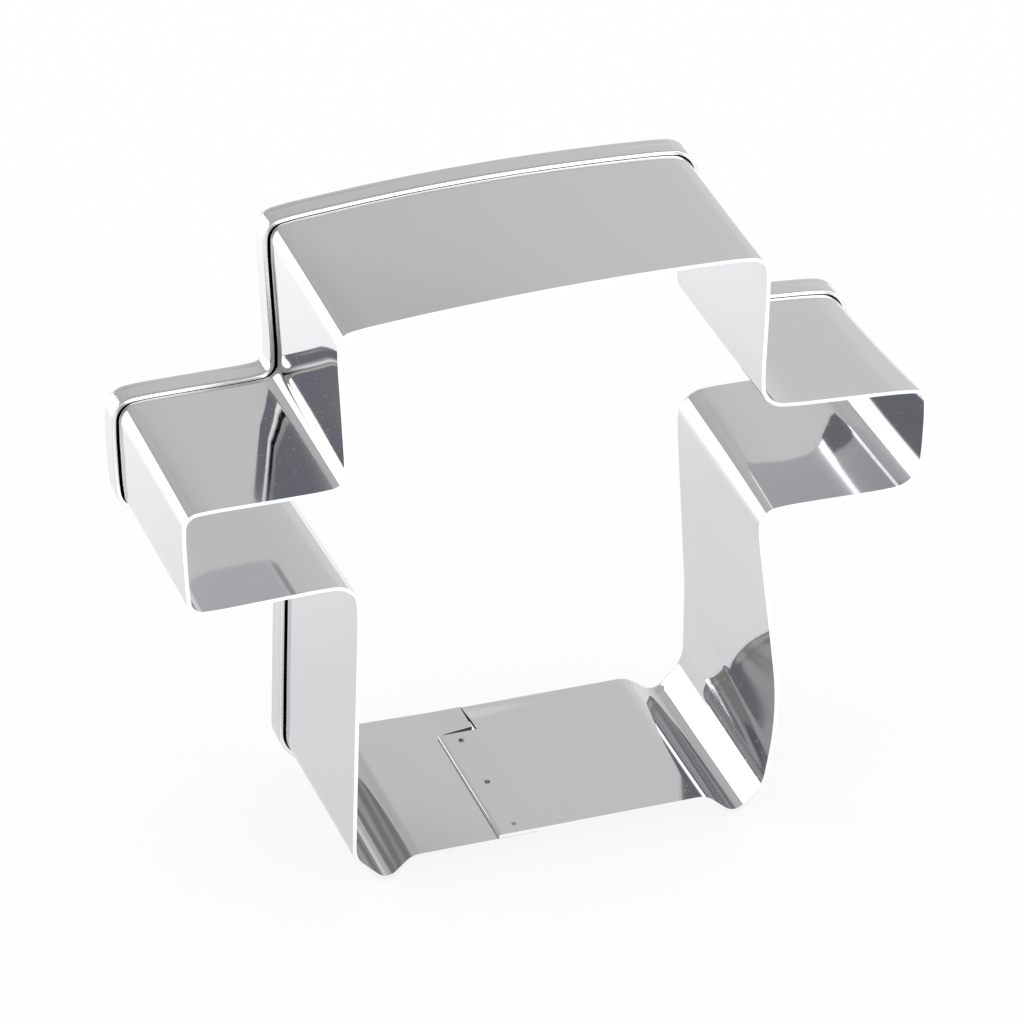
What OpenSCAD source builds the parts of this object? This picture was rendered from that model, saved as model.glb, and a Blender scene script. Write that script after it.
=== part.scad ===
// Cookie cutter in the outline of a barbecue: a wide crowned lid, a shelf on each
// side, a body below them and two small feet.
//
// One strip of stainless steel runs once round the outline. Its back rim is folded
// outwards as an open hem, so that the hand doesn't press on a raw edge. Its ends
// lap on the bottom wall, where a row of spot welds holds them.
//
// The cutter stands on its feet. X runs to the right, Y from the cutting edge to the
// hem and Z up. The origin lies under the middle, where the hem meets the table.
// All places along the outline are those of the middle of the steel. Heights are
// taken from the soles of the feet, and sideways places from the middle plane.

/* [Strip] */
// Width of the strip, from the cutting edge to the hem's rim
strip_w = 25; // [20:0.5:32]
// Thickness of the steel
strip_t = 0.4; // [0.3:0.05:0.5]

/* [Hem] */
// Width of the folded hem
hem_w = 3; // [2:0.1:4]
// Slit left open inside the hem
hem_gap = 0.2; // [0.1:0.05:0.3]

/* [Lid] */
// Left top corner, from the middle plane
lid_l_x = 23; // [22.5:0.1:26]
// Right top corner, from the middle plane
lid_r_x = 22; // [21.5:0.1:26]
// Left wall at its foot, from the middle plane
lid_l_root_x = 22.1; // [21:0.1:24]
// Right wall at its foot, from the middle plane
lid_r_root_x = 21.3; // [20:0.1:24]
// Height of the left top corner
lid_l_h = 64.3; // [58:0.1:70]
// Height of the right top corner
lid_r_h = 64.9; // [58:0.1:70]
// Radius of the crowned top
lid_crown_r = 360; // [300:5:900]
// Bend at the left top corner
lid_l_bend = 1.6; // [1.2:0.1:3]
// Bend at the right top corner
lid_r_bend = 2.1; // [1.2:0.1:3]
// Bend from the left shelf up to the lid
lid_l_root_bend = 1.6; // [1.2:0.1:3]
// Bend from the lid down to the right shelf
lid_r_root_bend = 2.6; // [1.2:0.1:4]

/* [Shelves] */
// Reach of both shelves, from the middle plane
shelf_x = 39.15; // [34:0.1:46]
// How far the shelves' end walls lean in towards their lower bends
shelf_toe_in = 0.45; // [0:0.05:1.5]
// Height of the left shelf's top at the lid
shelf_l_h = 46.7; // [44:0.1:50]
// Height of the left shelf's top at its end
shelf_l_end_h = 46.9; // [44:0.1:50]
// Height of the right shelf's top at the lid
shelf_r_h = 47.6; // [44:0.1:50]
// Height of the right shelf's top at its end
shelf_r_end_h = 46.4; // [44:0.1:50]
// Height of the shelves' undersides at the body
under_h = 35.6; // [32:0.1:38]
// Height of the shelves' undersides at their ends
under_end_h = 35.2; // [32:0.1:38]
// Bends at the shelves' ends
shelf_bend = 1.7; // [1.2:0.1:3]

/* [Body] */
// Left wall under the shelf, from the middle plane
body_l_x = 20.95; // [20:0.1:23]
// Right wall under the shelf, from the middle plane
body_r_x = 21.1; // [20:0.1:23]
// Left wall at its heel, from the middle plane
heel_l_x = 21.9; // [21:0.1:24]
// Right wall at its heel, from the middle plane
heel_r_x = 22.3; // [21.5:0.1:24]
// Where the right wall swells furthest, from the middle plane
knee_x = 23.9; // [22:0.1:25]
// Height at which the right wall swells furthest
knee_h = 11.1; // [10.6:0.1:16]
// Bend from the left wall to the left shelf
body_l_bend = 2.8; // [1.2:0.1:4]
// Bend from the right shelf to the right wall
body_r_bend = 2; // [1.2:0.1:4]
// Long bend of the right wall where it swells
knee_bend = 36; // [10:1:40]

/* [Feet] */
// Tip of the left foot, from the middle plane
foot_l_x = 18.4; // [17.6:0.1:19]
// Tip of the right foot, from the middle plane
foot_r_x = 19.1; // [17.6:0.1:19.6]
// Height of the outer layer of the bottom wall
bottom_h = 1.9; // [1.5:0.05:3]
// Slope of each foot's inner side, in degrees
foot_in_slope = 42; // [36:1:50]
// Slope of each foot's outer side, in degrees
foot_out_slope = 45; // [40:1:50]
// Bend at the tip of each foot
foot_bend = 1.5; // [1.1:0.1:1.8]
// Bend from each foot to the bottom wall
instep_bend = 1.5; // [1.2:0.1:2.5]
// Bend from each foot to the body's wall
heel_bend = 2.8; // [1.2:0.1:3.5]

/* [Lap] */
// Length of the lap
lap_l = 4.1; // [3:0.1:8]
// End of the outer layer, left of the middle plane
lap_x = 2.3; // [-4:0.1:6]
// Depth of the notch that keeps the inner layer's tab clear of the hem
notch_w = 5.4; // [4.4:0.1:7]
// Film of air between the two layers
lap_gap = 0.02; // [0.01:0.01:0.1]
// Slit where the ends of the hem meet
butt_gap = 0.15; // [0.05:0.05:0.5]

/* [Spot welds] */
// Number of spot welds
weld_n = 3; // [2:1:4]
// Diameter of each weld
weld_d = 1.2; // [0.8:0.1:1.6]
// Middle of the first and last weld, from the tab's edges
weld_inset = 1.5; // [1.2:0.1:3]
// Diameter of the electrode's dimple in a weld
dimple_d = 1; // [0.5:0.05:1.1]
// Depth of the dimple
dimple_depth = 0.08; // [0.03:0.01:0.1]

/* [Hidden] */
$fn = 96;
steel = [0.86, 0.87, 0.88];
weld_steel = [0.7, 0.71, 0.73];
// One overrun serves all cuts and joins
overrun = strip_t;
// A bend is stepped so that no chord lies further than this from its arc
chord_error = 0.01;
// Steps of the hem's half round fold
fold_steps = 6;

// The hem stands this far out from the middle of the steel
hem_reach = 1.5 * strip_t + hem_gap;
// Outer radius of the hem's fold, and how far its middle lies out of the steel's
fold_r = strip_t + hem_gap / 2;
fold_x = (strip_t + hem_gap) / 2;
// The inner layer of the bottom wall runs one thickness above the outer one
inner_h = bottom_h + strip_t + lap_gap;
tab_w = strip_w - notch_w;

function along(a) = [cos(a), sin(a)];

// Meeting point of the two slopes of a foot whose tip bend just touches height 0.
// side is 1 for the right foot and -1 for the left one.
function foot_corner(tip_x, side) =
  let (spread = 1 + cos(foot_in_slope + foot_out_slope))
  [side * (tip_x + foot_bend * (sin(foot_out_slope) - sin(foot_in_slope)) / spread),
   foot_bend - foot_bend * (cos(foot_in_slope) + cos(foot_out_slope)) / spread];
// Where the inner slope of a foot reaches height h
function instep(foot, h, side) = [foot[0] - side * (h - foot[1]) / tan(foot_in_slope), h];
// Where the outer slope of a foot reaches the wall at distance x
function heel(foot, x, side) = [side * x, foot[1] + (x - side * foot[0]) * tan(foot_out_slope)];

foot_l = foot_corner(foot_l_x, -1);
foot_r = foot_corner(foot_r_x, 1);
// Slope of the crowned top where it reaches the lid's corner bends
crown_slope = asin(((lid_l_x + lid_r_x) / 2 - lid_l_bend - lid_r_bend) / lid_crown_r);
crown_x = (lid_r_x - lid_l_x) / 2;
crown_h = (lid_l_h + lid_r_h) / 2 + (lid_l_x + lid_r_x) / 2 * tan(crown_slope);

// The outline as [place, bend radius], clockwise from the end of the outer layer
// round to the end of the inner layer's hem
outline = [
  [[-lap_x, bottom_h], 0],
  [instep(foot_l, bottom_h, -1), instep_bend],
  [foot_l, foot_bend],
  [heel(foot_l, heel_l_x, -1), heel_bend],
  [[-body_l_x, under_h], body_l_bend],
  [[-shelf_x + shelf_toe_in, under_end_h], shelf_bend],
  [[-shelf_x, shelf_l_end_h], shelf_bend],
  [[-lid_l_root_x, shelf_l_h], lid_l_root_bend],
  [[-lid_l_x, lid_l_h], lid_l_bend],
  [[crown_x, crown_h], lid_crown_r],
  [[lid_r_x, lid_r_h], lid_r_bend],
  [[lid_r_root_x, shelf_r_h], lid_r_root_bend],
  [[shelf_x, shelf_r_end_h], shelf_bend],
  [[shelf_x - shelf_toe_in, under_end_h], shelf_bend],
  [[body_r_x, under_h], body_r_bend],
  [[knee_x, knee_h], knee_bend],
  [heel(foot_r, heel_r_x, 1), heel_bend],
  [foot_r, foot_bend],
  [instep(foot_r, inner_h, 1), instep_bend],
  [[butt_gap - lap_x, inner_h], 0]
];
last = len(outline) - 1;

function place(i) = outline[i][0];
function bend_r(i) = outline[i][1];
// Direction of the straight stretch that leaves point i, in degrees
function heading(i) =
  let (d = place(i + 1) - place(i))
  atan2(d[1], d[0]);
// Turn at point i in degrees, positive to the left, which is outwards
function turn(i) =
  let (a = heading(i) - heading(i - 1))
  a > 180 ? a - 360 : a < -180 ? a + 360 : a;
// Centre of the bend at point i
function bend_centre(i) =
  place(i) - bend_r(i) * tan(abs(turn(i)) / 2) * along(heading(i - 1))
  + bend_r(i) * along(heading(i - 1) + sign(turn(i)) * 90);
function bend_steps(i) =
  max(1, ceil(abs(turn(i)) / (2 * acos(1 - chord_error / bend_r(i)))));

// The outline as stations of [place, outward direction], stepped round each bend
function bend_stations(i) =
  let (n = bend_steps(i))
  [for (k = [0 : n])
    let (out = along(heading(i - 1) + 90 + turn(i) * k / n))
    [bend_centre(i) - sign(turn(i)) * bend_r(i) * out, out]];
stations = concat(
  [[place(0), along(heading(0) + 90)]],
  [for (i = [1 : last - 1]) each bend_stations(i)],
  [[place(last), along(heading(last - 1) + 90)]]
);

// Section of the strip: each entry is a point on the steel's inner face and the one
// opposite it on the outer face, as [way out from the middle, depth from the rim].
// It runs from the cutting edge round the fold to the hem's raw edge.
section = concat(
  [[[-strip_t / 2, strip_w], [strip_t / 2, strip_w]]],
  [for (k = [0 : fold_steps])
    let (out = along(180 + 180 * k / fold_steps), middle = [fold_x, fold_r])
    [middle + fold_r * out, middle + hem_gap / 2 * out]],
  [[[hem_reach, hem_w], [hem_reach - strip_t, hem_w]]]
);

// The section carried along the stations. A ring of points holds the section's inner
// face and then its outer face, and four-sided faces join each ring to the next.
module swept_strip() {
  side_n = len(section);
  ring_n = 2 * side_n;
  points = [for (s = stations) for (face = [0, 1]) for (p = section)
    concat(s[0] + p[face][0] * s[1], p[face][1])];
  rings = [for (j = [0 : len(stations) - 2]) j * ring_n];
  steps = [for (k = [0 : side_n - 2]) k];
  inner_face = [for (j = rings) for (k = steps)
    [j + k, j + k + ring_n, j + k + 1 + ring_n, j + k + 1]];
  outer_face = [for (j = rings) for (k = steps)
    let (a = j + side_n + k)
    [a, a + 1, a + ring_n + 1, a + ring_n]];
  cutting_edge = [for (j = rings) [j, j + side_n, j + ring_n + side_n, j + ring_n]];
  raw_edge = [for (j = rings)
    let (a = j + side_n - 1)
    [a, a + ring_n, a + side_n + ring_n, a + side_n]];
  first_end = [for (k = steps) [k, k + 1, k + side_n + 1, k + side_n]];
  last_end = [for (k = steps)
    let (a = len(rings) * ring_n + k)
    [a, a + side_n, a + side_n + 1, a + 1]];
  polyhedron(points,
    concat(inner_face, outer_face, cutting_edge, raw_edge, first_end, last_end));
}

// Stands the outline up on its feet, with the depth along Y
module stand() {
  translate([0, strip_w / 2, hem_reach])
    rotate([90, 0, 0])
      children();
}

// Places its children at each weld, on the outer face of the lap, pointing up
module at_welds() {
  pitch = (tab_w - 2 * weld_inset) / (weld_n - 1);
  for (k = [0 : weld_n - 1])
    translate([-lap_x - lap_l / 2, weld_inset - strip_w / 2 + k * pitch,
               hem_reach + bottom_h - strip_t / 2])
      children();
}

// The bent strip, with its tab and with a hole where each weld goes through
module strip() {
  color(steel)
    difference() {
      stand() {
        swept_strip();
        translate([-lap_x - lap_l, inner_h - strip_t / 2, notch_w])
          cube([lap_l + butt_gap + overrun, strip_t, tab_w]);
      }
      at_welds()
        translate([0, 0, -overrun])
          cylinder(h = 2 * strip_t + lap_gap + 2 * overrun, d = weld_d);
    }
}

// The spot welds: round nuggets through both layers, with the electrodes' shallow
// dimple on both faces
module spot_welds() {
  nugget_h = 2 * strip_t + lap_gap;
  dimple_r = (dimple_d * dimple_d / 4 + dimple_depth * dimple_depth) / (2 * dimple_depth);
  color(weld_steel)
    at_welds()
      difference() {
        cylinder(h = nugget_h, d = weld_d);
        for (z = [dimple_depth - dimple_r, nugget_h - dimple_depth + dimple_r])
          translate([0, 0, z])
            sphere(r = dimple_r);
      }
}

strip();
spot_welds();
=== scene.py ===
# A cookie cutter in the outline of a barbecue, bent from one strip of bright
# stainless steel. Sizes are in millimetres unless a comment says otherwise, and each
# piece is scaled to metres when its mesh is done.
import math

import bmesh
import bpy
from mathutils import Matrix, Vector, noise


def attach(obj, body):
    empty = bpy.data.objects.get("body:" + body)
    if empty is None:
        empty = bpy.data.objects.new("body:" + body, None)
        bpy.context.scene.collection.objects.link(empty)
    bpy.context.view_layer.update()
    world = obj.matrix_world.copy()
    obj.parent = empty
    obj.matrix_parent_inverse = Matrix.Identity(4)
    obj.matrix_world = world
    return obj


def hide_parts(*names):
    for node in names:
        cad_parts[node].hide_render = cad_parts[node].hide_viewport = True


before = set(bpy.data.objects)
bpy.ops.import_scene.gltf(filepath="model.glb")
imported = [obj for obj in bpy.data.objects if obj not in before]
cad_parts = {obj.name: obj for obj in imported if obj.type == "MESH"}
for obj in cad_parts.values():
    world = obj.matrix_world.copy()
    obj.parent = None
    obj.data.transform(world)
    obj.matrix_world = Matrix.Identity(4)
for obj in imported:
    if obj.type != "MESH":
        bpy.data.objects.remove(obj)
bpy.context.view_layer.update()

# ---------------------------------------------------------------------------
# The strip: one length of bright stainless steel, sheared to width and bent round the
# outline. Its back rim is folded outwards as an open hem, and its ends lap on the
# bottom wall, where the upper end is cut back to a tab that clears the hem.
# ---------------------------------------------------------------------------
MM = 0.001
TINY = 1e-3
STEEL_T = 0.4
DEPTH = 25
CUT_Y, RIM_Y = -DEPTH / 2, DEPTH / 2
HEM_W = 3
HEM_GAP = 0.05
STAND_OFF = 0.13  # the hem springs open by this much more on the upright walls
FOLD_R = STEEL_T + HEM_GAP / 2
LIP_Y = RIM_Y - HEM_W  # the hem's sheared edge
SOLE = 0.8  # from the middle of the steel at the soles down to the table
OUTER_H, INNER_H = 1.9, 2.32  # heights of the two layers' middles above the soles
LAP_TOP, LAP_UNDER = SOLE + INNER_H + STEEL_T / 2, SOLE + OUTER_H - STEEL_T / 2
NOTCH_Y = 7.1  # the tab reaches this far back
SLOT_Y = 8.15  # far side of the relief slot beside the tab
SLOT_NARROWS = 0.5  # how much of its width the slot loses on its way to its closed end
SLOT_X = -5.6
TAB_X = -6.4
LAP_END, HEM_END = -2.3, -2.15  # ends of the outer layer and of the upper one's hem
FEET_H = 5  # bends below this height belong to the feet
TAIL = math.radians(4.5)  # springback leaves a slow curve at each side of a bend
TAIL_R, FOOT_TAIL_R = 34, 5
LONG_BEND_R = 30  # a bend wider than this has no slow ends
SHARP = math.radians(60)
EDGE_R, BURR_R = 0.05, 0.2  # the worn edges, and the rolled ones of the tab and the hem

# Corners of the steel's middle line, clockwise as seen from the cutting edge: place
# from the middle, height above the soles and bend radius at the cutting edge, then
# how far the corner moves and its bend opens by the time it reaches the hem.
corners = [
    (SLOT_X, OUTER_H, 0, 0, 0.1, 0),
    (-15.714, OUTER_H, 1.9, 0, 0.4, 0),
    (-18.454, -0.567, 1.5, 0, 0.1, 0),
    (-21.9, 2.879, 2.8, -0.2, 0.7, 0),
    (-20.95, 35.6, 2.6, -0.3, 0, 0.4),
    (-38.7, 35.2, 1.6, 0, 0, 0.3),
    (-39.15, 46.9, 1.5, 0, 0.4, 0.3),
    (-22.1, 46.7, 1.5, 0, 0.5, 0.3),
    (-23.0, 64.3, 1.5, 0, 0.5, 0),
    (-0.5, 65.777, 330, 0, 0.6, -100),
    (22.0, 64.9, 2.0, -0.1, 0.1, 0.4),
    (21.3, 47.6, 2.5, 0, -0.5, 0),
    (39.15, 46.4, 1.6, -0.9, -0.7, 0.8),
    (38.7, 35.2, 3.0, -0.6, 0, 0),
    (21.1, 35.6, 1.9, 0.4, 0, 0.8),
    (23.9, 11.1, 36, -1.2, 1, 0),
    (22.3, 2.579, 4.0, 0.3, 0.3, 0.4),
    (19.154, -0.567, 1.6, 0, 0, 0),
    (15.948, INNER_H, 2.2, 0, -0.5, 0),
    (HEM_END, INNER_H, 0, 0, -0.42, 0),
]


def parts_of(out, kind):
    return [g for g in out if isinstance(g, kind)]


def with_edges(faces):
    """Faces and their edges, which an extrusion needs to leave nothing behind inside."""
    return faces + list(dict.fromkeys(e for f in faces for e in f.edges))


def end_of(out):
    """The new end of the strip that an extrusion or a spin gives, and its corners."""
    return [g for g in out if not isinstance(g, bmesh.types.BMVert)], parts_of(out, bmesh.types.BMVert)


def carry(bm, region, way):
    """Extrudes the end of the strip one step on."""
    out = bmesh.ops.extrude_face_region(bm, geom=region)["geom"]
    bmesh.ops.translate(bm, verts=parts_of(out, bmesh.types.BMVert), vec=way)
    return end_of(out)


def swing(bm, region, centre, angle):
    """Spins the end of the strip one step round a bend."""
    out = bmesh.ops.spin(
        bm, geom=region, cent=(centre.x, 0, centre.y + SOLE), axis=(0, -1, 0), angle=angle,
        steps=1, use_merge=False, use_duplicate=False)
    return end_of(out["geom_last"])


def even_steps(length, longest, margin=0.3):
    """Steps that fill a length, with a narrow one at each end to hold the bends."""
    if length < 4 * margin:
        return [length / 2] * 2
    n = math.ceil((length - 2 * margin) / longest)
    return [margin] + [(length - 2 * margin) / n] * n + [margin]


def turned(point, centre, angle):
    return centre + Matrix.Rotation(angle, 2) @ (point - centre)


def side_of(way):
    """The way out of the steel, for the way that the strip runs."""
    return Vector((-way.y, way.x))


def bend_of(turn, radius, height):
    """A bend's arcs as [angle, radius], with the slow ones before and after."""
    if radius > LONG_BEND_R:
        return [(turn, radius)]
    tail = math.copysign(min(TAIL, abs(turn) / 8), turn)
    slow = FOOT_TAIL_R if height < FEET_H else TAIL_R
    return [(tail, slow), (turn - 2 * tail, radius), (tail, slow)]


def reach_of(arcs, turn):
    """How far before its corner a bend begins."""
    span, heading = Vector((0, 0)), 0
    for angle, r in arcs:
        middle = heading + angle / 2
        span += 2 * r * math.sin(abs(angle) / 2) * Vector((math.cos(middle), math.sin(middle)))
        heading += angle
    return span.length / (2 * math.cos(turn / 2))


def route(line):
    """The straights and arcs of an outline as [start, stop] and [start, centre, angle]."""
    moves, place = [], Vector(line[0][:2])
    for k in range(1, len(line)):
        here = Vector(line[k][:2])
        way = (here - Vector(line[k - 1][:2])).normalized()
        radius, arcs, reach = line[k][2], [], 0
        if radius:
            onward = (Vector(line[k + 1][:2]) - here).normalized()
            turn = math.atan2(way.cross(onward), way.dot(onward))
            arcs = bend_of(turn, radius, here.y)
            reach = reach_of(arcs, turn)
        moves.append((place, here - way * reach))
        place = here - way * reach
        for angle, r in arcs:
            centre = place + side_of(way) * math.copysign(r, angle)
            moves.append((place, centre, angle))
            place = turned(place, centre, angle)
            way = Matrix.Rotation(angle, 2) @ way
    return moves


# The section starts as the short line of the cutting edge. It is carried back in rows,
# which are close together at both rims, at the notch and at the slot, then folded and
# carried forwards again as the hem.
def carry_rows(bm, row, steps, direction):
    for step in steps:
        out = bmesh.ops.extrude_edge_only(bm, edges=row)["geom"]
        verts = parts_of(out, bmesh.types.BMVert)
        bmesh.ops.translate(bm, verts=verts, vec=(0, direction * step, 0))
        row = [e for e in parts_of(out, bmesh.types.BMEdge) if set(e.verts) == set(verts)]
    return row


rows_back = [0.2, 0.4, 0.8] + [1.65] * 10
rows_back.append(NOTCH_Y - CUT_Y - sum(rows_back) - 0.2)
rows_back += [0.2, SLOT_Y - NOTCH_Y, 0.2, 1.0, 1.0] + [0.25] * 6
rows_back.append(DEPTH - FOLD_R - sum(rows_back))
rows_forward = [0.22] * 6 + [0.4, 0.4]
rows_forward.append(HEM_W - FOLD_R - sum(rows_forward))

strip = bmesh.new()
start = Vector((SLOT_X, CUT_Y, SOLE + OUTER_H))
row = [strip.edges.new([strip.verts.new(start + Vector((0, 0, s * STEEL_T / 2))) for s in (1, -1)])]
row = carry_rows(strip, row, rows_back, 1)
out = bmesh.ops.spin(
    strip, geom=row, cent=start + Vector((0, DEPTH - FOLD_R, -(STEEL_T + HEM_GAP) / 2)), axis=(1, 0, 0),
    angle=-math.pi, steps=10, use_merge=False, use_duplicate=False)
carry_rows(strip, parts_of(out["geom_last"], bmesh.types.BMEdge), rows_forward, -1)

# The section is swept round the outline. Each ring keeps its corners, its place on the
# middle line, the way out from it, how far the hem stands off that place, the length
# so far, and how far along the last straight it is.
LONGEST_STEP, LONGEST_ARC, WIDEST_TURN = 1.7, 1.5, 6  # the last in degrees
near = route([c[:3] for c in corners])
far = route([(x + dx, z + dz, r + dr) for x, z, r, dx, dz, dr in corners])
region, length = with_edges(list(strip.faces)), 0
way = (near[0][1] - near[0][0]).normalized()
rings = [(list(strip.verts), near[0][0], side_of(way), far[0][0] - near[0][0], 0, 0)]
for here, there in zip(near, far):
    if len(here) == 2:
        span = (here[1] - here[0]).length
        way = (here[1] - here[0]).normalized()
        done = 0
        for step in even_steps(span, LONGEST_STEP):
            region, verts = carry(strip, region, Vector((way.x, 0, way.y)) * step)
            done += step
            at = here[0].lerp(here[1], done / span)
            off = there[0].lerp(there[1], done / span) - at
            rings.append((verts, at, side_of(way), off, length + done, done / span if here is near[-1] else 0))
        length += span
    else:
        begin, centre, angle = here
        arc = abs(angle) * (begin - centre).length
        steps = max(4, math.ceil(math.degrees(abs(angle)) / WIDEST_TURN), math.ceil(arc / LONGEST_ARC))
        for k in range(1, steps + 1):
            region, verts = swing(strip, region, centre, angle / steps)
            at = turned(begin, centre, angle * k / steps)
            out_way = (at - centre).normalized() * -math.copysign(1, angle)
            length += arc / steps
            off = turned(there[0], there[1], there[2] * k / steps) - at
            rings.append((verts, at, out_way, off, length, 0))
        way = Matrix.Rotation(angle, 2) @ way

# The far rim is a little out of step with the cutting edge, the steel is faintly wavy,
# the folding tool left a shallow groove round the hem and broken strokes inside it,
# and the hem stands off a little more on the upright walls.
WAVE, WAVE_LENGTH, WAVE_WIDTH = 0.024, 10, 12
GROOVE, GROOVE_AT, GROOVE_W = 0.03, 1.15, 0.3
STROKE, STROKE_AT, STROKE_W = 0.05, 1.5, 0.7
EARLY = 1.6  # more than 1 brings most of the step out close to the limp cutting edge
LAP_MIDDLE, LAP_CALM, LAP_FADE = -3.5, 3.5, 3  # the lap is held flat by its welds


def dip(depth, at, width):
    return math.exp(-(((depth - at) / width) ** 2))


lip = set()  # outer corners of the hem's sheared edge
for verts, at, out_way, off, s, lap in rings:
    calm = min(1, max(0, (abs(at.x - LAP_MIDDLE) - LAP_CALM) / LAP_FADE)) if at.y < 3 else 1
    for v in verts:
        u = (v.co.x - at.x) * out_way.x + (v.co.z - SOLE - at.y) * out_way.y
        outer_side = u > STEEL_T / 2 + TINY
        depth = RIM_Y - v.co.y
        share = 1 - max(0, 1 - (v.co.y - CUT_Y) / DEPTH) ** EARLY
        late = max(0, (v.co.y - SLOT_Y) / (RIM_Y - SLOT_Y))
        share += (late * late * (3 - 2 * late) - share) * lap
        wave = WAVE * noise.noise(Vector((s / WAVE_LENGTH, v.co.y / WAVE_WIDTH, 1.7)))
        shift = wave * calm * min(1, depth / 3 + 0.3)
        if outer_side:
            uneven = 0.75 + 0.5 * noise.noise(Vector((s / 4, 3.1, 0)))
            shift -= GROOVE * uneven * dip(depth, GROOVE_AT, GROOVE_W)
        else:
            broken = max(0, noise.noise(Vector((s / 3, depth * 1.1, 7.3))) - 0.05)
            shift += STROKE * broken * dip(depth, STROKE_AT, STROKE_W)
        folded = (u + STEEL_T / 2) / (2 * FOLD_R) if depth < FOLD_R + TINY else float(outer_side)
        if depth < HEM_W + 0.01:
            shift += STAND_OFF * abs(out_way.x) * min(1, max(0, folded))
        if depth > HEM_W - TINY and u > 3 * STEEL_T / 2:
            lip.add(v)
        v.co += Vector((out_way.x * shift + off.x * share, 0, out_way.y * shift + off.y * share))


# The ends: the tab goes on over the outer layer, and the outer layer goes on under it
# on both sides of the relief slot, which narrows to its closed end.
def before_notch(face):
    return all(v.co.y < NOTCH_Y + TINY for v in face.verts)


def behind_slot(face):
    return all(v.co.y > SLOT_Y - TINY for v in face.verts)


tab = with_edges([f for f in parts_of(region, bmesh.types.BMFace) if before_notch(f)])
for step in even_steps(HEM_END - TAB_X, 0.5, 0.1):
    tab, _ = carry(strip, tab, Vector((-step, 0, 0)))
first = [f for f in strip.faces if all(abs(v.co.x - SLOT_X) < 1e-4 and v.co.z < 4 for v in f.verts)]
for end in ([f for f in first if before_notch(f)], [f for f in first if behind_slot(f)]):
    end = with_edges(end)
    for step in even_steps(LAP_END - SLOT_X, 0.8, 0.1):
        end, _ = carry(strip, end, Vector((step, 0, 0)))
for v in strip.verts:
    if abs(v.co.y - SLOT_Y) < TINY and v.co.z < 3 and SLOT_X - 0.1 < v.co.x < LAP_END + 0.1:
        v.co.y += SLOT_NARROWS * (v.co.x - LAP_END) / (LAP_END - SLOT_X) + 0.05
bmesh.ops.recalc_face_normals(strip, faces=strip.faces)

# The last index is not a finish of the steel but painted shade: a near-black colour on the walls of the relief slot
# and at the hem's butt.
BRIGHT, SHEARED, TORN, PAINTED_SHADE = range(4)


def finish_of(face):
    """The finish that a face of the strip takes, by the cut that made it, or painted shade on the walls of the
    relief slot and at the hem's butt.
    """
    n, at = face.normal, face.calc_center_median()
    # Faces that take the painted shade: the walls of the relief slot and the hem's butt.
    in_slot = abs(n.y) > 0.7 and SLOT_Y - 0.6 < at.y < SLOT_Y + 0.2 and at.z < 3
    at_butt = abs(n.x) > 0.7 and at.y > NOTCH_Y and abs(at.x - HEM_END) < 0.75 and at.z < 4
    if in_slot or at_butt:
        return PAINTED_SHADE
    end_cut = abs(n.x) > 0.9
    rim_cut = abs(n.y) > 0.9 and at.y < LIP_Y + 0.1
    if not (rim_cut or end_cut and at.z < SOLE + 3.2 and abs(at.x) < 7):
        return BRIGHT
    within = end_cut or at.y > CUT_Y + 1 and at.z < LAP_TOP
    return TORN if within and at.y < LIP_Y - 0.1 else SHEARED


for f in strip.faces:
    f.material_index = finish_of(f)


def tab_top(edge):
    return all(abs(v.co.x - TAB_X) < TINY and v.co.z > LAP_TOP - 0.01 for v in edge.verts)


rolled_over = [e for e in strip.edges if e.calc_face_angle() > SHARP and tab_top(e)]
rolled_over += [e for e in strip.edges if set(e.verts) <= lip and e.calc_face_angle() > SHARP]
roll = bmesh.ops.bevel(
    strip, geom=rolled_over, offset=BURR_R, segments=3, profile=0.5, affect="EDGES", material=-1, clamp_overlap=True)
for f in roll["faces"]:  # the middle of the roll is as bright as the sheet
    f.normal_update()
    if max(abs(c) for c in f.normal) < 0.8:
        f.material_index = BRIGHT
sharp = [e for e in strip.edges if e.calc_face_angle() > SHARP]
bmesh.ops.bevel(
    strip, geom=sharp, offset=EDGE_R, segments=2, profile=0.5, affect="EDGES", material=-1, clamp_overlap=True)
bmesh.ops.recalc_face_normals(strip, faces=strip.faces)
bmesh.ops.scale(strip, vec=(MM,) * 3, verts=strip.verts)


# The finishes of the steel. Their patterns read Object coordinates, in metres.
def add(tree, kind, *in_order, **named):
    """A new node. Small names are set on the node itself, capitals and values in order on
    its inputs, and a value that is another node's socket is linked."""
    node = tree.nodes.new(kind)
    for name, value in named.items():
        if name[0].islower():
            setattr(node, name, value)
    inputs = [(node.inputs[n.replace("_", " ")], v) for n, v in named.items() if n[0].isupper()]
    for socket, value in [*zip(node.inputs, in_order), *inputs]:
        if isinstance(value, bpy.types.NodeSocket):
            tree.links.new(value, socket)
        else:
            socket.default_value = value
    return node


def calc(tree, operation, *values):
    return add(tree, "ShaderNodeMath", *values, operation=operation).outputs[0]


def ranged(tree, value, low, high, to_low=0.0, to_high=1.0, **named):
    """A value brought from one range to another, and held inside it."""
    return add(
        tree, "ShaderNodeMapRange", Value=value, From_Min=low, From_Max=high, To_Min=to_low, To_Max=to_high,
        **named).outputs["Result"]


def noise_of(tree, place, scale, detail, **named):
    return add(tree, "ShaderNodeTexNoise", Vector=place, Scale=scale, Detail=detail, **named)


def colours_of(tree, factor, first, second, **named):
    return add(tree, "ShaderNodeMix", data_type="RGBA", Factor=factor, A=first, B=second, **named).outputs["Result"]


def node_group(name, inputs, outputs):
    tree = bpy.data.node_groups.new(name, "ShaderNodeTree")
    for side, sockets in (("INPUT", inputs), ("OUTPUT", outputs)):
        for label, kind in sockets.items():
            tree.interface.new_socket(label, in_out=side, socket_type="NodeSocket" + kind)
    return tree, tree.nodes.new("NodeGroupInput").outputs, tree.nodes.new("NodeGroupOutput").inputs


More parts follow.
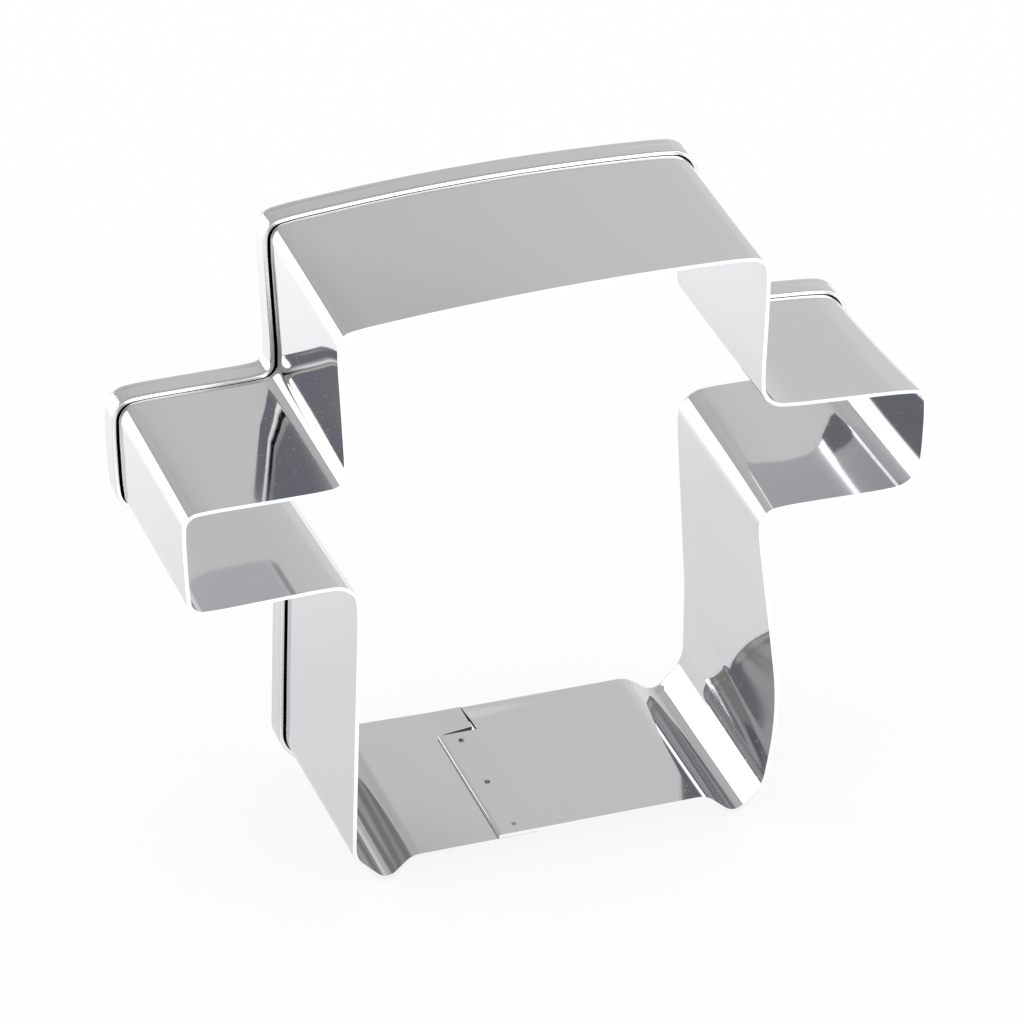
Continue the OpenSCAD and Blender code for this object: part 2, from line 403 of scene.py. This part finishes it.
# Handling wear: fine rolling lines along the strip and hair scratches as one height,
# specks of dust that settle in drifts, and a slow cloud.
wear, given, result = node_group(
    "handling_wear", {"Place": "Vector", "Grain": "Vector", "Scratches": "Float", "Dust": "Float"},
    {"Height": "Float", "Dust": "Float", "Cloud": "Float"})
rolled = add(wear, "ShaderNodeVectorMath", given["Place"], given["Grain"], operation="MULTIPLY").outputs[0]
lines = noise_of(wear, rolled, 1.0, 3.0, Roughness=0.6).outputs["Fac"]
cloud = noise_of(wear, given["Place"], 90.0, 4.0, Roughness=0.55)
bent = add(
    wear, "ShaderNodeVectorMath", cloud.outputs["Color"], (0.004,) * 3, given["Place"],
    operation="MULTIPLY_ADD").outputs[0]
cells = add(wear, "ShaderNodeTexVoronoi", feature="DISTANCE_TO_EDGE", Vector=bent, Scale=150.0).outputs["Distance"]
patches = noise_of(wear, given["Place"], 210.0, 2.0).outputs["Fac"]
hairs = calc(wear, "MULTIPLY", ranged(wear, cells, 0.012, 0.0), ranged(wear, patches, 0.56, 0.66))
scratches = calc(wear, "MULTIPLY", hairs, given["Scratches"])
specks = add(wear, "ShaderNodeTexVoronoi", feature="F1", Vector=given["Place"], Scale=1300.0, Randomness=1.0)
drifts = noise_of(wear, given["Place"], 75.0, 1.0).outputs["Fac"]
settled = calc(
    wear, "MULTIPLY", ranged(wear, specks.outputs["Distance"], 0.125, 0.06), ranged(wear, drifts, 0.5, 0.6))
wear.links.new(calc(wear, "SUBTRACT", lines, scratches), result["Height"])
wear.links.new(calc(wear, "MULTIPLY", settled, given["Dust"]), result["Dust"])
wear.links.new(cloud.outputs["Fac"], result["Cloud"])

DUST_COLOUR = (0.78, 0.78, 0.78, 1)
ALONG_STRIP, DOWN_CUT = (2600, 160, 2600), (900, 7000, 900)


def steel_finish(name, colour, roughness, relief, scratches=1.0, dust=0.0, metallic=1.0, grain=ALONG_STRIP):
    """Steel with the wear of handling, from a colour, a roughness and a relief in metres."""
    material = bpy.data.materials.new(name)
    material.use_nodes = True
    tree = material.node_tree
    bsdf = tree.nodes["Principled BSDF"].inputs
    bsdf["Metallic"].default_value = metallic
    place = tree.nodes.new("ShaderNodeTexCoord").outputs["Object"]
    worn = add(
        tree, "ShaderNodeGroup", node_tree=wear, Place=place, Grain=grain, Scratches=scratches, Dust=dust).outputs
    tree.links.new(colours_of(tree, worn["Dust"], (*colour, 1), DUST_COLOUR), bsdf["Base Color"])
    smudged = ranged(tree, worn["Cloud"], 0.3, 0.7, roughness * 0.75, roughness * 1.3)
    tree.links.new(calc(tree, "MULTIPLY_ADD", worn["Dust"], 0.6, smudged), bsdf["Roughness"])
    bump = add(tree, "ShaderNodeBump", Strength=1.0, Distance=relief, Height=worn["Height"])
    tree.links.new(bump.outputs["Normal"], bsdf["Normal"])
    return material


bright = steel_finish("bright_steel", (0.69, 0.69, 0.695), 0.06, 1.2e-7, dust=1.0)
sheared = steel_finish("sheared_steel", (1.0, 1.0, 1.0), 0.26, 1e-6)
torn = steel_finish("torn_steel", (0.85, 0.85, 0.85), 0.45, 1.2e-5, metallic=0.4, grain=DOWN_CUT)
# Painted shade: a near-black colour that stands in for the shade inside the relief slot and at the hem's butt, where
# the steel itself is no darker.
painted_shade_finish = steel_finish("painted_shade_steel", (0.07, 0.07, 0.075), 0.5, 6e-6, metallic=0.6)

# The strip is drilled where the weld nuggets take the place of its steel.
WELD_X, WELD_YS = -4.35, (-11, -2.7, 5.6)
WELD_R = 0.6
SMOOTH_BELOW = math.radians(50)


def piece_of(bm, name, *finishes):
    """A piece of the object from a finished mesh, with its sheared edges left sharp."""
    mesh = bpy.data.meshes.new(name)
    for finish in finishes:
        mesh.materials.append(finish)
    bm.to_mesh(mesh)
    bm.free()
    mesh.shade_smooth()
    mesh.set_sharp_from_angle(angle=SMOOTH_BELOW)
    piece = bpy.data.objects.new(name, mesh)
    bpy.context.scene.collection.objects.link(piece)
    return piece


drill = bmesh.new()
for y in WELD_YS:
    bmesh.ops.create_cone(
        drill, cap_ends=True, cap_tris=False, segments=40, radius1=WELD_R, radius2=WELD_R, depth=4,
        matrix=Matrix.Translation((WELD_X, y, LAP_TOP - 0.4)))
bmesh.ops.scale(drill, vec=(MM,) * 3, verts=drill.verts)
blank = piece_of(strip, "strip_blank", bright, sheared, torn, painted_shade_finish)
drill_piece = piece_of(drill, "drill", bright)
holes = blank.modifiers.new("holes", "BOOLEAN")
holes.operation, holes.solver, holes.object = "DIFFERENCE", "MANIFOLD", drill_piece
strip_mesh = bpy.data.meshes.new_from_object(blank.evaluated_get(bpy.context.evaluated_depsgraph_get()))
strip_mesh.name = "strip_dressed"
strip_mesh.set_sharp_from_angle(angle=SMOOTH_BELOW)
bpy.data.objects.remove(blank)
bpy.data.objects.remove(drill_piece)
strip_piece = bpy.data.objects.new("strip_dressed", strip_mesh)
bpy.context.scene.collection.objects.link(strip_piece)
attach(strip_piece, "root")
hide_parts("strip")

# ---------------------------------------------------------------------------
# The spot welds: three nuggets of melted steel through both layers of the lap, each
# with a scorched dimple and a faint raised collar where the electrodes pressed, a
# little harder on each one from the cutting edge back.
# ---------------------------------------------------------------------------
WELD_PRESS = (0.5, 0.75, 1)
BURNT_RS = (0.23, 0.31, 0.31)
UNDER_SHARE = 0.8  # depth of the dimples underneath
DIMPLE = [
    (0, -0.13), (0.12, -0.125), (0.22, -0.1), (0.3, -0.055), (0.36, -0.015), (0.42, 0.004), (0.5, 0.006),
    (0.58, 0.003), (0.62, 0.0005)]

welds = bmesh.new()
for y, press in zip(WELD_YS, WELD_PRESS):
    heights = [(WELD_X + r, LAP_TOP + press * h) for r, h in DIMPLE]
    heights += [(WELD_X + WELD_R, LAP_TOP - 0.01), (WELD_X + WELD_R, LAP_UNDER + 0.01)]
    heights += [(WELD_X + r, LAP_UNDER - UNDER_SHARE * press * h) for r, h in reversed(DIMPLE)]
    chain = [welds.verts.new((x, y, z)) for x, z in heights]
    edges = [welds.edges.new(pair) for pair in zip(chain, chain[1:])]
    bmesh.ops.spin(
        welds, geom=chain + edges, cent=(WELD_X, y, 0), axis=(0, 0, 1), angle=2 * math.pi, steps=40,
        use_merge=True, use_duplicate=False)
bmesh.ops.remove_doubles(welds, verts=welds.verts, dist=1e-4)
bmesh.ops.recalc_face_normals(welds, faces=welds.faces)
for f in welds.faces:
    k = min(range(3), key=lambda n: abs(f.calc_center_median().y - WELD_YS[n]))
    f.material_index = int(all(math.dist(v.co[:2], (WELD_X, WELD_YS[k])) < BURNT_RS[k] for v in f.verts))
bmesh.ops.scale(welds, vec=(MM,) * 3, verts=welds.verts)

burnt = steel_finish("burnt_steel", (0.2, 0.19, 0.185), 0.3, 3e-6)
tree = burnt.node_tree
blotches = noise_of(tree, tree.nodes["Texture Coordinate"].outputs["Object"], 3200.0, 2.0).outputs["Fac"]
charred = colours_of(tree, ranged(tree, blotches, 0.44, 0.54), (0.1, 0.095, 0.09, 1), (0.55, 0.54, 0.53, 1))
tree.links.new(charred, tree.nodes["Principled BSDF"].inputs["Base Color"])
welds_piece = piece_of(welds, "spot_welds_dressed", bright, burnt)
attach(welds_piece, "root")
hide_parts("spot_welds")

# ---------------------------------------------------------------------------
# The camera: a long lens well above the cutter and a little to the left, on the side of
# the cutting edge. Its place was solved from corners of the outline at both rims.
# ---------------------------------------------------------------------------
LENS, SENSOR = 293, 36
AZIMUTH, ELEVATION = math.radians(-19.03), math.radians(31.31)
DISTANCE = 0.8436  # metres
AIM = Vector((-0.659, 0.194, 33.341))

lens = bpy.data.cameras.new("camera")
lens.lens, lens.sensor_width = LENS, SENSOR
lens.clip_start, lens.clip_end = 0.05, 20
camera = bpy.data.objects.new("camera", lens)
back = Vector((
    math.sin(AZIMUTH) * math.cos(ELEVATION), -math.cos(AZIMUTH) * math.cos(ELEVATION), math.sin(ELEVATION)))
camera.location = AIM * MM + back * DISTANCE
camera.rotation_mode = "QUATERNION"
camera.rotation_quaternion = (-back).to_track_quat("-Z", "Y")
bpy.context.scene.collection.objects.link(camera)
bpy.context.scene.camera = camera

# ---------------------------------------------------------------------------
# The floor: a sheet of plain white paper, which stays white to the camera and keeps the
# cutter's soft shadow. To the steel's reflections it glows with painted shade and painted
# light. Its places are in metres from the middle of the cutter.
# ---------------------------------------------------------------------------
PAPER_HALF = 0.25
# The glow is white to the camera, and to the steel's reflections it carries painted shade and painted light.
GLOW_SHARE = 0.87  # how much of the seen paper is its own white, and doesn't take shade
SECOND, THIRD = 1.5, 2.5  # between the first, second and third time that a ray meets steel

floor_mesh = bpy.data.meshes.new("floor")
floor = bmesh.new()
bmesh.ops.create_grid(floor, x_segments=1, y_segments=1, size=PAPER_HALF)
floor.to_mesh(floor_mesh)
floor.free()
floor_piece = bpy.data.objects.new("floor", floor_mesh)
bpy.context.scene.collection.objects.link(floor_piece)

paper = bpy.data.materials.new("white_paper_with_painted_light")
paper.use_nodes = True
tree = paper.node_tree
tree.nodes.clear()
ray = tree.nodes.new("ShaderNodeLightPath").outputs
spot = tree.nodes.new("ShaderNodeTexCoord").outputs["Object"]
sides = add(tree, "ShaderNodeSeparateXYZ", spot).outputs

# Painted shade and light in the paper's glow, for the steel's reflections: darker round the
# cutter as a painted shadow, brighter farther off behind it, and a painted bright patch just
# in front. Paper that is mirrored a second time is painted dimmer.
behind = add(tree, "ShaderNodeVectorMath", spot, (-0.39, 0.92, 0), operation="DOT_PRODUCT").outputs["Value"]
painted_front_light = calc(
    tree, "MULTIPLY", ranged(tree, sides["Y"], -0.012, -0.03, 0.0, 0.35),
    ranged(tree, calc(tree, "ABSOLUTE", sides["X"]), 0.09, 0.07))
painted_front_light = calc(tree, "MULTIPLY", painted_front_light, calc(tree, "LESS_THAN", ray["Glossy Depth"], THIRD))
lit = calc(tree, "MAXIMUM", ranged(tree, behind, 0.04, 0.24), painted_front_light)
mirrored = colours_of(tree, lit, (0.9, 0.907, 0.92, 1), (1.74, 1.75, 1.765, 1))
mirrored = colours_of(
    tree, calc(tree, "GREATER_THAN", ray["Glossy Depth"], SECOND), mirrored, (0.72, 0.72, 0.745, 1),
    blend_type="MULTIPLY")
glow = add(
    tree, "ShaderNodeEmission", Color=colours_of(tree, ray["Is Glossy Ray"], (1, 1, 1, 1), mirrored), Strength=1.0)
diffuse = add(tree, "ShaderNodeBsdfDiffuse", Color=(0.95, 0.95, 0.95, 1))
seen = calc(tree, "MAXIMUM", ray["Is Camera Ray"], ray["Is Glossy Ray"])
mix = add(
    tree, "ShaderNodeMixShader", calc(tree, "MULTIPLY", seen, GLOW_SHARE), diffuse.outputs[0], glow.outputs[0])
add(tree, "ShaderNodeOutputMaterial", mix.outputs[0])
floor_mesh.materials.append(paper)

# ---------------------------------------------------------------------------
# The room: soft white light from all sides. Only the steel's reflections see more of it:
# pale walls, a greyer band above them, a grey ceiling, and soft boxes at the left, at
# the right and in front. Directions round the room are degrees from +Y towards +X.
# ---------------------------------------------------------------------------
SIDE_BOXES, FRONT_BOX = 1.9, 2.2  # brightness of the soft boxes

world = bpy.data.worlds.new("studio")
bpy.context.scene.world = world
world.use_nodes = True
tree = world.node_tree
tree.nodes.clear()
ray = tree.nodes.new("ShaderNodeLightPath").outputs
out_there = add(tree, "ShaderNodeSeparateXYZ", tree.nodes.new("ShaderNodeTexCoord").outputs["Generated"]).outputs
turn = calc(tree, "ARCTAN2", out_there["X"], out_there["Y"])
round_room = ranged(tree, turn, -math.pi, math.pi)
mirrored_twice = calc(tree, "GREATER_THAN", ray["Glossy Depth"], SECOND)


def grey(value, blue=1.0):
    return value * (1 - 0.4 * (blue - 1)), value, value * blue, 1


def ramp(value, stops):
    """A colour ramp over a value, from its stops as [place, colour]."""
    node = add(tree, "ShaderNodeValToRGB", value)
    elements = node.color_ramp.elements
    while len(elements) < len(stops):
        elements.new(0.5)
    for element, (place, colour) in zip(elements, stops):
        element.position, element.color = place, colour
    return node.outputs["Color"]


def round_ramp(*stops):
    """A ramp that runs once round the room, from stops as [degrees, grey, blue]."""
    return ramp(round_room, [(degrees / 360 + 0.5, grey(*shade)) for degrees, *shade in stops])


def above(degrees, soft_by):
    """A mask of the room above a height, with a soft edge upwards, or downwards below 0."""
    low, high = (math.sin(math.radians(a)) for a in (degrees, degrees + soft_by))
    return ranged(tree, out_there["Z"], low, high, interpolation_type="SMOOTHSTEP")


upper = round_ramp(
    (-180, 0.7), (-130, 0.7), (-115, 0.45, 1.1), (-100, 0.7), (-45, 0.62), (-33, 0.58), (-20, 0.6), (-12, 0.64),
    (10, 0.67), (32, 0.8), (75, 0.72), (90, 0.45, 1.1), (105, 0.72), (180, 0.7))
walls = round_ramp(
    (-180, 0.9), (-150, 0.8), (-64, 0.8), (-62, 1.0), (-28, 1.0), (-24, 0.82), (180, 0.85))
side_boxes = round_ramp(
    (-180, 0), (-66, 0), (-58, 1), (-31, 1), (-26, 0), (93, 0), (99, 1), (123, 1), (129, 0))
front_box = round_ramp((-180, 1), (-170, 1), (-162, 0), (134, 0), (140, 1))
upper_deep = round_ramp(
    (-180, 0.32), (-45, 0.28), (-33, 0.24, 1.12), (-12, 0.25, 1.12), (10, 0.28, 1.05), (20, 0.33), (180, 0.32))
walls_deep = round_ramp(
    (-180, 0.42), (-64, 0.42), (-62, 0.5), (-28, 0.45), (-24, 0.28, 1.1), (8, 0.28, 1.08), (18, 0.46), (180, 0.46))
walls = colours_of(tree, mirrored_twice, walls, walls_deep)
upper = colours_of(tree, mirrored_twice, upper, upper_deep)
walls = add(
    tree, "ShaderNodeVectorMath", side_boxes, (SIDE_BOXES,) * 3, walls, operation="MULTIPLY_ADD").outputs[0]
around = colours_of(tree, above(20, 2.5), walls, upper)
around = colours_of(tree, above(33, 6), around, (0.56, 0.56, 0.57, 1))
box_height = ramp(
    out_there["Z"], [(0.0, grey(0)), (0.05, grey(0)), (0.12, grey(1)), (0.53, grey(1)), (0.62, grey(0.1)),
                     (1.0, grey(0))])
front = add(tree, "ShaderNodeVectorMath", front_box, box_height, operation="MULTIPLY").outputs[0]
front = add(tree, "ShaderNodeVectorMath", front, operation="SCALE", Scale=FRONT_BOX).outputs[0]
around = colours_of(tree, 1, around, front, blend_type="LIGHTEN")
around = colours_of(tree, above(-20, -4), around, (1.24, 1.26, 1.3, 1))
seen = colours_of(tree, ray["Is Glossy Ray"], (1, 1, 1, 1), around)
background = add(tree, "ShaderNodeBackground", Color=seen)
add(tree, "ShaderNodeOutputWorld", background.outputs[0])

bpy.context.scene.view_settings.view_transform = "Standard"
